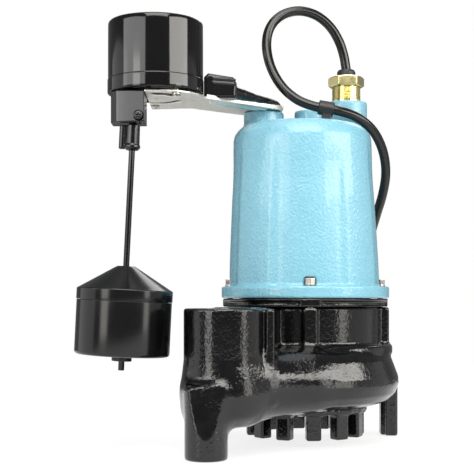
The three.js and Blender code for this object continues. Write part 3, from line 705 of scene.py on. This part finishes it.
def front_leg(x, y, z):
    """A leg with a round front that leans back a little into the bowl."""
    across = length2(x + 95, np.maximum(-138 - y, 0) + np.maximum(y + 116, 0)) - 19
    lean = 0.176 * (z - 20) - 0.984 * (y + 157)
    return np.maximum(raised(across + 0 * z, z, 0.3, 64, 2.0), lean)


def volute():
    field = Field((-126, -169, -3), (103, 90, 137), 1.4)
    rx, ry = RISER
    field.add(scroll, 0)
    field.add(post(0, 0, 86.5, 86, 96.5, 3), 4)
    field.add(post(0, 0, DRUM_R, 80, DRUM_TOP, 1.2), 4)
    for angle in BOLT_ANGLES:
        x, y = on_circle(76, angle)
        field.add(turned_box(x, y, 111, (7.5, 6.8, 22), angle, 2), 3, ((x - 18, y - 18, 80),
                                                                       (x + 18, y + 18, 137)))
    # the discharge: a bowl under an upright boss, with a channel from the scroll
    upright = rounded([(0, 28), (24, 28, 8), (38, 38, 14), (40.2, 56, 24), (36.5, 86, 50),
                       (RISER_R, RISER_TOP, 1.4),
                       (0, RISER_TOP)])
    field.add(lathe(upright, rx, ry), 9)
    field.add(capsule((-6, -86, 65), (rx + 6, ry + 2, 61), 27, 33), 12)
    web = [(-92, -70), (-58, -30), (-20, -55), (-36, -86), (-50, -104), (-80, -90)]
    field.add(prism(web, 60, DRUM_TOP - 1, 2), 5)
    field.add(turned_box(-41, -103.5, 90, (4.0, 21.5, 42), 8, 2.2), 5)
    field.add(capsule((-44, -121, 62), (-52, -122, 36), 3.0, 2.4), 8)
    # feet
    right = [(81, 40), (86.5, 40), (87, 33.5), (95, 32), (97.8, 34), (97.8, 56), (81, 56)]
    left = [(-106, 6), (-106, 34), (-98, 38), (-80, 38), (-78, 4), (-98, 1)]
    field.add(front_leg, 10, ((-126, -169, -3), (-56, -90, 100)))
    field.add(turned_box(77, 47.5, 55, (11, 8, 11), 0, 3), 6, ((55, 20, 30), (103, 75, 90)))
    field.add(prism(right, 0.0, 66, 1.5), 4, ((70, 20, -3), (103, 68, 90)))
    field.add(turned_box(86, 36.5, 23.2, (1.5, 5.5, 23), 0, 1.0), 1.5, ((70, 20, -3), (103, 68, 90)))
    field.add(prism(left, 0.0, 60, 2.0), 4, ((-118, -8, -3), (-66, 50, 90)))
    # hollows
    field.cut(post(rx, ry, RISER_BORE, 55, RISER_TOP + 4), 1.2)
    field.cut(post(0, 0, 66, 55, 89), 0)
    field.cut(post(0, 0, 60, 88, DRUM_TOP + 4), 0.8)
    field.cut(post(0, 0, 32, 30, 56), 1.2)
    field.cut(prism([(-20, -50), (-50, -34), (-94, -98), (-64, -128)], 55, 82), 0)
    for angle in BOLT_ANGLES:
        x, y = on_circle(BOLT_CIRCLE, angle)
        field.cut(post(x, y, 3.4, 110, DRUM_TOP + 4), 0, ((x - 6, y - 6, 105), (x + 6, y + 6, 137)))
    field.cut(lambda px, py, pz: pz + 0 * px * py)  # nothing below the floor the feet stand on
    cast("volute_casting", field, "pump", ["volute_casing"], ENAMEL, relax=2)


volute()


def seal_plate():
    field = Field((-85, -85, 115), (85, 85, 160), 1.0)
    body = [(9.5, 142), (20.3, 142), (20.3, 158), (27, 158), (27, 141.4), (62, 141.4), (62, 146.5),
            (64, 146.5),
            (64, 141.4), (82, 141.4), (82, 133.4), (59, 133.4), (59, 129.3), (24, 129.3), (24, 118),
            (16.3, 118),
            (16.3, 130), (9.5, 130)]
    field.add(lathe(body))

    def grooves(x, y, z):
        near = np.minimum.reduce([angle_gap(x, y, a) for a in BOLT_ANGLES])
        wall = 79.3 + 3.5 * (1 - between(near, 5, 9))
        return np.maximum(wall - length2(x, y), np.abs(z - 136.6) - 2.2)
    field.cut(grooves, 1.2, ((-85, -85, 128), (85, 85, 146)))
    for angle in BOLT_ANGLES:
        x, y = on_circle(BOLT_CIRCLE, angle)
        field.cut(post(x, y, 3.4, 130, 145), 0, ((x - 6, y - 6, 128), (x + 6, y + 6, 146)))
    cast("seal_plate_casting", field, "pump", ["seal_plate"], ENAMEL, relax=1)


seal_plate()


def strainer():
    field = Field((-64, -64, 3), (64, 64, 40), 1.0)
    field.add(lambda x, y, z: np.maximum(raised(length2(x, y) - 61, z, 30.5, 37.7, 1.5), 32 - length2(x, y)))
    for i in range(12):
        angle = 5 - 90 + 30 * i
        x, y = on_circle(52.5, angle)
        near = ((x - 14, y - 14, 3), (x + 14, y + 14, 40))
        field.add(turned_box(x, y, 21, (6.2, 7.2, 15), angle, 1.8), 0, near)
        field.add(turned_box(x, y, 33, (7.6, 8.8, 2.6), angle, 1.8), 4, near)
    for angle in (20, 140, 260):
        x, y = on_circle(39, angle)
        field.cut(post(x, y, 2.6, 25, 42), 0, ((x - 5, y - 5, 25), (x + 5, y + 5, 40)))
    cast("strainer_casting", field, "pump", ["suction_strainer"], ENAMEL, relax=1)


strainer()


# ---- fasteners ----
def hexagon(x, y, r, turn=0.0):
    return [on_circle(r, 60 * k + turn, x, y) for k in range(6)]


def bolt(name, node, x, y, r, seat, head, shank_r, end, turn=30):
    """A hexagon head with a washer face and a chamfered top, on a plain shank."""
    field = Field((x - r - 3, y - r - 3, end - 1), (x + r + 3, y + r + 3, seat + head + 2), 0.35)

    def hexagon_head(px, py, pz):
        body = raised(polygon(px, py, hexagon(x, y, r, turn)), pz, seat + 1.2, seat + head, 0.25)
        cone = (length2(px - x, py - y) + (pz - seat - head) * 1.6 - r * 0.9) / 1.9
        return np.maximum(body, cone)
    field.add(hexagon_head)
    field.add(post(x, y, r * 0.98, seat, seat + 1.4, 0.3))
    field.cut(post(x, y, r * 0.42, seat + head - 0.7, seat + head + 2), 0.3)
    field.add(post(x, y, shank_r, end, seat + 1, 0.4), 0.3)
    cast(name, field, "pump", [node], STAINLESS)


for number, angle in enumerate(BOLT_ANGLES, 1):
    bolt(f"flange_bolt_head_{number}", f"flange_bolt_{number}", *on_circle(BOLT_CIRCLE, angle), 5.2,
         FLANGE_TOP - 0.8, 7.0, 3, 125)
bolt("bracket_bolt_head", "bracket_bolt", -41, 5, 5.9, PLATE_TOP + 0.3, 4.2, 3, 316)


def pan_screw(name, node, x, y, r, seat, head, shank_r, far, down=True, body="pump", finish=STAINLESS,
              slot="stainless_steel"):
    """A pan head with a cross recess that faces down, or up."""
    sign = -1 if down else 1
    span = sorted((seat + sign * (head + 1), far))
    field = Field((x - r - 1, y - r - 1, span[0] - 1), (x + r + 1, y + r + 1, span[1] + 1), 0.2)
    middle = seat + sign * (head - r * 1.35)

    def dome(px, py, pz):
        sphere = np.sqrt((px - x) ** 2 + (py - y) ** 2 + (pz - middle) ** 2) - r * 1.35
        side = length2(px - x, py - y) - r
        return np.maximum(np.maximum(sphere, side), sign * (seat - pz))
    field.add(dome)
    tip = seat + sign * head
    for turn in (20, 110):
        field.cut(turned_box(x, y, tip, (r * 0.62, 0.45, head * 0.55), turn, 0.1), 0.15)
    field.cut(post(x, y, 0.9, *sorted((tip - sign * head * 0.6, tip + sign))), 0.2)
    field.add(post(x, y, shank_r, *sorted((seat, far)), 0.3), 0.2)
    cast(name, field, body, [node], finish)


for number, (x, y) in enumerate(((-123, -102), (-147, -36)), 1):
    pan_screw(f"switch_screw_head_{number}", f"switch_screw_{number}", x, y, 4, PLATE_BOTTOM - 0.3, 2.9, 2.2,
              SWITCH_BOTTOM + 2.4)
for number, angle in enumerate((20, 140, 260), 1):
    pan_screw(f"strainer_screw_head_{number}", f"strainer_screw_{number}", *on_circle(39, angle), 4.4,
              30.2, 2.8,
              2.3, 37)


def block_screw():
    """A dark screw in the front of the rod block, with a cross recess."""
    low, high = node_box("block_screw")
    x, z = (low[0] + high[0]) / 2, (low[2] + high[2]) / 2
    field = Field(low - 1, high + 1, 0.2)

    def head(px, py, pz):
        across = length2(px - x, pz - z)
        return np.maximum(np.maximum(across - 3.9, py - high[1]), low[1] + 0.045 * across ** 2 - py)
    field.add(head)
    for wide, high_half in ((2.3, 0.5), (0.5, 2.3)):
        field.cut(turned_box(x, low[1], z, (wide, 1.3, high_half), 0, 0.1), 0.15)
    cast("block_screw_head", field, "pump", ["block_screw"], BLACK_STEEL)


block_screw()


# ---- impeller ----
def impeller():
    field = Field((-60, -60, 58), (60, 60, 105), 0.8)
    field.add(post(0, 0, 58, 80, 85, 1.2))
    field.add(post(0, 0, 14, 72, 103, 1.0), 3)
    for k in range(5):
        spine = [on_circle(16 + 10 * i, 72 * k + 12.5 * i) for i in range(5)]
        for (ax, ay), (bx, by) in zip(spine, spine[1:]):
            wall = lambda x, y, z, a=(ax, ay), b=(bx, by): capsule((*a, 0), (*b, 0), 1.9, 1.9)(x, y, 0 * z)
            vane = lambda x, y, z, wall=wall: np.maximum(wall(x, y, z), np.abs(z - 70.7) - 10.5)
            field.add(vane, 0.8)
    field.cut(post(0, 0, 8.3, 78.2, 110))
    field.cut(post(0, 0, 5.3, 50, 90))
    cast("impeller_moulding", field, "rotor", ["impeller"], DARK_PLASTIC)
    nut = Field((-11, -11, 63), (11, 11, 73), 0.3)
    corner = lambda x, y, z: (length2(x, y) + np.abs(z - 67.9) * 1.7 - 13.6) / 2
    nut.add(lambda x, y, z: np.maximum(raised(polygon(x, y, hexagon(0, 0, 9.5)), z, 64.1, 71.6, 0.2),
                                       corner(x, y, z)))
    nut.cut(post(0, 0, 5.3, 60, 80), 0.5)
    cast("impeller_nut_hexagon", nut, "rotor", ["impeller_nut"], STAINLESS)


impeller()


# ---- cord gland ----
def gland():
    x, y, top = CORD_BOSS
    threads = []
    for z in np.arange(top + 3.2, top + 14.6, 1.6):
        threads += [(14.3, z), (14.3, z + 0.35), (13.3, z + 0.8), (13.3, z + 1.05)]
    body = [(5.6, top - 18), (9.6, top - 18), (9.6, top + 0.3), (14.6, top + 0.3), (14.6, top + 2.2),
            (13.3, top + 2.8), *threads, (13.3, top + 15.5), (5.6, top + 15.5)]
    lathed("gland_thread", body, "pump", ["gland_body"], GOLD, (x, y), 96, closed=True, sharp=30)
    nut = Field((x - 20, y - 20, top + 14), (x + 20, y + 20, top + 28), 0.4)

    def hexagonal(px, py, pz):
        r = length2(px - x, py - y)
        flat = raised(polygon(px, py, hexagon(x, y, 18.3)), pz, top + 15.8, top + 26, 0.3)
        upper = (r + (pz - top - 26) * 1.8 - 15.6) / 2.06
        lower = (r - (pz - top - 15.8) * 1.8 - 15.8) / 2.06
        return np.maximum(np.maximum(flat, upper), np.maximum(lower, 10.2 - r))
    nut.add(hexagonal)
    cast("gland_hexagon_nut", nut, "pump", ["gland_nut"], GOLD)
    bushing = rounded([(5.05, top + 15.8), (9.8, top + 15.8, 0.3), (9.8, top + 26, 0.3), (9.3, top + 27, 0.4),
                       (9.3, top + 31.2, 0.8), (8.0, top + 33.4, 1.0), (5.05, top + 33.4)])
    lathed("gland_bushing_collar", bushing, "pump", ["gland_bushing"], RUBBER,
           (x, y), 72, closed=True)


gland()


def filler_plug():
    x, y = 8, 27
    field = Field((x - 9, y - 9, 316), (x + 9, y + 9, 334), 0.35)
    field.add(post(x, y, 7.7, 318, 332.2, 0.8))
    field.cut(prism(hexagon(x, y, 4.6), 327, 336), 0.3)
    cast("filler_plug_socket", field, "pump", ["filler_plug"], STAINLESS)


filler_plug()


# ---- float switch ----
def bracket():
    x, y = SWITCH
    outline = [(-151.7, -110), (x + 8, -110), (x + 22, -107), (x + 33, -100), (x + 41, -89), (x + 46, -77),
               (x + 48, -70), (-22.5, -9)]
    outline += [on_circle(18.5, a, -41, 5) for a in range(-30, 91, 20)]
    outline += [(-63, 19), (-104, -12), (-112, -19.5), (-121, -19), (-136, -16), (-151.7, -14)]
    field = Field((-154, -113, 326), (-19, 27, 334), 0.6)
    field.add(prism(outline, PLATE_BOTTOM, PLATE_TOP, 0.3))
    for inset in (7.5, 15.5):
        field.add(capsule((-93, -66 + inset, 327.7), (-40, -22.5 + inset, 327.7), 1.1, 1.1), 0.8)

    def slot(first, last, half_wide):
        middle, half = (first + last) / 2, (last - first) / 2

        def arc(px, py, pz):
            turn = np.clip((np.degrees(np.arctan2(py - y, px - x)) - middle + 180) % 360 - 180, -half, half)
            a = np.radians(turn + middle)
            return length2(px - x - 23.5 * np.cos(a), py - y - 23.5 * np.sin(a)) - half_wide
        return arc
    field.cut(slot(-84, -40, 6), 0.3)
    field.cut(slot(30, 104, 3.5), 0.3)
    lip = polygon(*np.meshgrid(field.axes[0], field.axes[1], indexing="ij"),
                  [(-97, -71), (-95.6, -72), (-21.8, -9.6), (-23, -8.2)])
    field.add(lambda px, py, pz: raised(lip[:, :, None], pz, PLATE_BOTTOM, PLATE_TOP + 2.6, 0.3), 0.4)
    field.cut(post(x, y, 2.2, 320, 340), 0.3)
    field.cut(post(-41, 5, 3.4, 320, 340), 0.3)
    for sx, sy in ((-123, -102), (-147, -36)):
        field.cut(post(sx, sy, 2.6, 320, 340), 0)
    cast("bracket_plate", field, "pump", ["switch_bracket"], ZINC, sharp=40)


bracket()


def switch_housing():
    r, low, top = SWITCH_R, SWITCH_BOTTOM, SWITCH_TOP
    cap = rounded([(0, top), (r - 0.15, top - 0.4, 3.0), (r - 0.1, top - 6), (r, top - 22),
                   (r, low + 14), (r, low + 13, 0.3),
                   (r + 0.15, low + 12.6, 0.2), (r + 0.5, low + 12.3, 0.2),
                   (r + 0.5, low + 11), (r + 0.5, low + 3),
                   (r + 0.5, low, 0.8), (r - 2.4, low, 0.6),
                   (r - 2.4, top - 9, 3), (r - 8, top - 2.6, 3), (0, top - 2.6)])
    lathed("switch_cap_shell", cap, "pump", ["switch_cap"], GLOSS_PLASTIC, SWITCH, 144)


def switch_base():
    """The disc that closes the switch's housing from below, with a moulded ring groove."""
    x, y = SWITCH
    outer, low = SWITCH_R - 2.8, SWITCH_BOTTOM + 1
    field = Field((x - 44, y - 44, low - 1), (x + 44, y + 44, low + 7), 0.6)
    field.add(lambda px, py, pz: np.maximum(raised(length2(px - x, py - y) - outer, pz, low, low + 5, 0.8),
                                            6 - length2(px - x, py - y)))
    ring_groove = lambda px, py, pz: np.maximum(np.abs(length2(px - x, py - y) - 34) - 1.2,
                                                np.abs(pz - low) - 1.2)
    field.cut(ring_groove, 0.4)
    field.cut(post(ROD[0] + 2, ROD[1], 6, low - 2, low + 9), 0.3)
    field.cut(turned_box(x + 45, y + 8, low + 7, (15.3, 6.3, 5.3)), 0.3)
    for sx, sy in ((-123, -102), (-147, -36)):
        field.cut(post(sx, sy, 2.6, low - 2, low + 2.4), 0.2)
    cast("switch_base_disc", field, "pump", ["switch_base"], SATIN_PLASTIC)


switch_housing()
switch_base()


def rod_block():
    field = Field((-186, -106, 300), (-150, -71, 333), 0.45)
    outline = [(-178, -96.8), (-152.1, -102.8), (-152.1, -73.1), (-183.8, -73.1), (-183.8, -91)]
    field.add(prism(outline, 302, 331.7, 0.7))
    field.add(post(-157, -99.5, 2.2, 299.9, 303, 0.6), 0.6)
    screw_well = lambda x, y, z: np.maximum(length2(x + 157.5, z - 307.5) - 4.4, y + 100.6)
    field.cut(screw_well, 0.4)
    field.cut(post(ROD[0] + 1.9, ROD[1], 5, 290, 340), 0.3)
    cast("rod_block_moulding", field, "pump", ["rod_block"], GLOSS_PLASTIC)


rod_block()


def float_parts():
    lean = (ROD_BASE, ROD_LEAN)
    bore, r = ROD_R + 0.3, 43.7
    body = rounded([(bore, 140.5), (r - 3.5, 140.5), (r - 3.5, 139), (r, 139, 0.4), (r, 89, 3.2),
                    (r - 8, 89, 1),
                    (r - 10, 90, 0.5), (12, 90, 0.5), (11, 89, 0.4), (bore, 89)])
    lathed("float_cup", body, "float", ["float_body"], SATIN_PLASTIC,
           ROD, 128, lean, closed=True)
    lid = rounded([(bore, 141.3), (r - 2.7, 141.3), (r - 2.7, 139.3), (r + 0.4, 139.3, 0.3),
                   (r + 0.4, 149.4, 1.2),
                   (r - 1.8, 150.6, 0.8), (10.5, 169.6, 1.5), (8, 171, 0.6), (bore, 171)])
    lathed("float_cone", lid, "float", ["float_lid"], SATIN_PLASTIC,
           ROD, 128, lean, closed=True)
    rod = rounded([(0, 75), (ROD_R, 75, 0.6), (ROD_R, 356, 0.6), (0, 356)])
    lathed("float_rod_line", rod, "rod", ["float_rod"], SATIN_PLASTIC, ROD, 48, lean)
    stop = rounded([(bore, 83.6), (9.2, 83.6, 0.5), (9.2, 88.7, 0.5), (bore, 88.7)])
    lathed("rod_stop_washer", stop, "rod", ["rod_stop"], RUBBER, ROD, 64, lean, closed=True)


float_parts()


def rod_guide():
    field = Field((-180, -98, 275), (-150, -78, 304), 0.35)
    c, s = math.cos(ROD_LEAN), math.sin(ROD_LEAN)

    def along(shape):
        def leaning(x, y, z):
            px, pz = x - ROD[0], z - ROD_BASE
            return shape(px * c - pz * s, y - ROD[1], px * s + pz * c)
        return leaning
    main = [(0, 0), (5.4, 0), (7.2, 2), (7.1, 4), (6.5, 5.2), (6.1, 22.4), (0, 22.4)]
    field.add(along(lathe(main, rounding=0.2)))
    field.add(along(post(-9.2, 0, 3.2, 0.6, 22.4, 0.9)), 0.6)
    field.add(along(turned_box(-6.5, 0, 13, (2.4, 1.6, 9.5), 0, 0.3)), 0.5)
    field.cut(along(post(0, 0, 3.6, -5, 40)), 0.3)
    cast("rod_guide_moulding", field, "pump", ["rod_guide"], SATIN_PLASTIC)


rod_guide()


def cord_relief():
    field = Field((-102, -68, 328), (-48, -32, 358), 0.45)
    x0, y0 = -99.2, -55

    def saddle(x, y, z):
        side = polygon(x, z, [(x0, 330.4), (x0 + 30, 330.4), (x0 + 31, 344), (x0 + 28, 350),
                              (x0 + 4, 353.8), (x0, 350)])
        return raised(side, y, y0 - 11, y0 + 11, 3.0)
    field.add(saddle)
    for height in (344.5, 348.5):
        field.add(capsule((x0 + 9, y0 - 10.4, height), (x0 + 29, y0 - 10.4, height - 1.5), 1.3, 1.3), 0.4)
    start, end = (x0 + 26, y0, 337.8), SWITCH_ROUTE[0]
    field.add(capsule(start, end, 6.2, 4.4), 1.2)
    for k in range(4):
        t = 0.5 + 0.13 * k
        spot = tuple(a + (b - a) * t for a, b in zip(start, end))
        field.add(ball(*spot, 5.5 - 0.28 * k, 5.5 - 0.28 * k, 5.5 - 0.28 * k), 0.4)
    cast("switch_cord_saddle", field, "pump", ["switch_cord_relief"], SATIN_PLASTIC)


cord_relief()


def cord_band():
    """A moulded sleeve round the cord, on a short foot that stands on the housing."""
    low, high = node_box("cord_clip")
    field = Field(low - 3, high + 3, 0.4)
    middle = (low + high) / 2
    a, b = (np.array(POWER_ROUTE[k]) for k in (13, 15))
    heart = np.array(POWER_ROUTE[14])
    along = (b - a) / np.linalg.norm(b - a)

    def sleeve(x, y, z):
        u = (x - heart[0]) * along[0] + (y - heart[1]) * along[1] + (z - heart[2]) * along[2]
        gap = np.sqrt(np.maximum((x - heart[0]) ** 2 + (y - heart[1]) ** 2 + (z - heart[2]) ** 2 - u * u, 0))
        return raised(gap - 7.1, u, -7.6, 7.6, 1.0)
    field.add(sleeve)
    half_high = (heart[2] - low[2]) / 2
    field.add(turned_box(middle[0], middle[1], (low[2] + heart[2]) / 2, (4.2, 5.2, half_high), 0, 1.0), 1.5)
    for start, end in zip(POWER_ROUTE[12:17], POWER_ROUTE[13:18]):
        field.cut(capsule(start, end, CORD_R + 0.2, CORD_R + 0.2), 0.3)
    cast("cord_band", field, "pump", ["cord_clip"], RUBBER)


cord_band()


# ---- floor and light ----
def staged_floor():
    size = 0.8
    points = [(-size, -size, 0), (size, -size, 0), (size, size, 0), (-size, size, 0)]
    mesh = bpy.data.meshes.new("floor")
    mesh.from_pydata([(x, y, -0.0002) for x, y, _ in points], [], [(0, 1, 2, 3)])
    floor = bpy.data.objects.new("floor", mesh)
    bpy.context.collection.objects.link(floor)
    material, tree, bsdf = shader("floor_white", (0.2, 0.2, 0.2), 0.7, specular=0.2)
    tone = ramp(tree, noise(tree, 300, 2), (0.19, 0.19, 0.19), (0.21, 0.21, 0.21))
    tree.links.new(tone, bsdf.inputs["Base Color"])
    bsdf.inputs["Emission Color"].default_value = (1, 1, 1, 1)
    bsdf.inputs["Emission Strength"].default_value = 0.82
    mesh.materials.append(material)
    floor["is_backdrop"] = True


staged_floor()


def area_light(name, spot, target, size, power, color=(1, 1, 1)):
    data = bpy.data.lights.new(name, "AREA")
    data.shape = "RECTANGLE"
    data.size, data.size_y = size
    data.energy = power
    data.color = color
    light = bpy.data.objects.new(name, data)
    bpy.context.collection.objects.link(light)
    light.location = spot
    light.rotation_euler = (Vector(target) - Vector(spot)).to_track_quat("-Z", "Y").to_euler()


def sun(name, azimuth, elevation, strength, spread):
    """A far soft light. Azimuth is from the front, towards the right."""
    data = bpy.data.lights.new(name, "SUN")
    data.energy, data.angle = strength, math.radians(spread)
    light = bpy.data.objects.new(name, data)
    bpy.context.collection.objects.link(light)
    a, e = math.radians(azimuth), math.radians(elevation)
    from_light = Vector((-math.sin(a) * math.cos(e), math.cos(a) * math.cos(e), -math.sin(e)))
    light.rotation_euler = from_light.to_track_quat("-Z", "Y").to_euler()


def studio_world():
    """White behind the object, and dimmer where it lights and is reflected, as in a studio with flags."""
    world = bpy.data.worlds.new("studio")
    bpy.context.scene.world = world
    world.use_nodes = True
    tree = world.node_tree
    lit, seen = tree.nodes["Background"], tree.nodes.new("ShaderNodeBackground")
    lit.inputs["Color"].default_value = (0.95, 0.97, 1, 1)
    lit.inputs["Strength"].default_value = 0.19
    seen.inputs["Color"].default_value = (1, 1, 1, 1)
    seen.inputs["Strength"].default_value = 1.0
    path, mix = tree.nodes.new("ShaderNodeLightPath"), tree.nodes.new("ShaderNodeMixShader")
    tree.links.new(path.outputs["Is Camera Ray"], mix.inputs["Fac"])
    tree.links.new(lit.outputs["Background"], mix.inputs[1])
    tree.links.new(seen.outputs["Background"], mix.inputs[2])
    tree.links.new(mix.outputs["Shader"], tree.nodes["World Output"].inputs["Surface"])


bpy.context.scene.view_settings.view_transform = "Standard"
studio_world()
WARM = (1, 0.975, 0.92)
sun("overhead", 5, 66, 0.9, 40)
area_light("left_softbox", (-1.2, -1.3, 0.35), (0, 0, 0.2), (0.5, 0.75), 4.4, WARM)
area_light("right_softbox", (1.45, -0.95, 0.3), (0, 0, 0.2), (0.4, 0.7), 3.2, WARM)
area_light("left_panel", (-1.7, 0.1, 0.3), (0, 0, 0.2), (1.7, 0.9), 4)
area_light("right_panel", (1.7, 0.1, 0.3), (0, 0, 0.2), (1.7, 0.9), 2)
area_light("front_softbox", (0.1, -1.2, 1.3), (0, 0, 0.1), (1.4, 0.95), 27, WARM)
area_light("top_softbox", (0, 0.1, 1.8), (0, 0, 0.3), (1.4, 1.2), 6)
area_light("back_softbox", (0.3, 1.7, 1.5), (0, 0, 0.2), (1.6, 0.7), 9)
area_light("high_left_panel", (-1.2, -1.0, 0.69), (-0.14, -0.07, 0.36), (1.6, 0.38), 7)
area_light("high_right_panel", (1.1, -0.7, 0.69), (-0.14, -0.07, 0.36), (1.2, 0.38), 11, WARM)

bpy.context.view_layer.update()
visual_box = [list(corner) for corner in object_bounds()]
